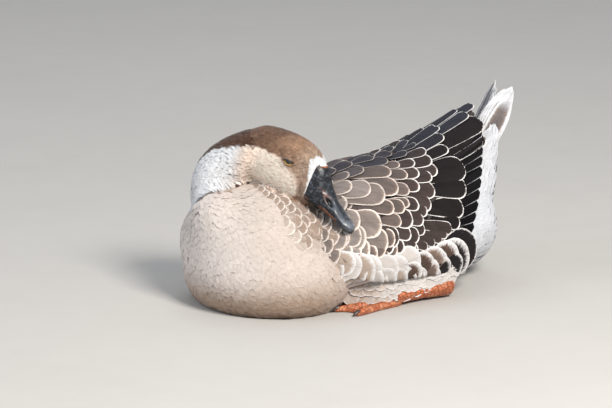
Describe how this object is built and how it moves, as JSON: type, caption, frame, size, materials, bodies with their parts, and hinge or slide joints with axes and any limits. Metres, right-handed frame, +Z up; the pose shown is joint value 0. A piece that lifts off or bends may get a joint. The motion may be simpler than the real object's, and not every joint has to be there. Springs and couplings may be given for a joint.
{
  "type": "domestic goose",
  "caption": "Resting domestic goose, life size, lying on its belly with its head turned back over its shoulder and its bill laid along the folded wing.",
  "frame": {"origin": "middle of the underside of the whole bird's box, on the floor", "axes": "-X the way the breast faces, +X towards the tail, -Y the bird's left, +Z up"},
  "size_m": [0.4238, 0.2508, 0.2136],
  "materials": {
    "body_plumage": "soft white and pale grey-buff contour feathers",
    "breast_plumage": "smooth pale tan contour feathers",
    "neck_plumage": "short dense feathers, white in front and cream at the side",
    "head_plumage": "very short brown feathers over a cream cheek",
    "wing_plumage": "brown-grey covering feathers with pale edges",
    "flight_plumage": "dark long feathers with thin pale edges",
    "tail_plumage": "brown-grey feathers with broad white edges",
    "bill_horn": "black horn with a satin sheen",
    "eye": "wet dark brown",
    "leg_skin": "orange scaly skin"
  },
  "bodies": {
    "root": {"trunk": "body_plumage", "breast": "breast_plumage", "neck_lower": "neck_plumage", "neck_upper": "neck_plumage", "head": "head_plumage", "bill_upper": "bill_horn", "bill_lower": "bill_horn", "eye_left": "eye", "eye_right": "eye", "wing_left": "wing_plumage", "wing_right": "wing_plumage", "flight_feathers_left": "flight_plumage", "flight_feathers_right": "flight_plumage", "tail": "tail_plumage", "shank_left": "leg_skin", "shank_right": "leg_skin", "foot_left": "leg_skin", "foot_right": "leg_skin"}
  },
  "joints": []
}
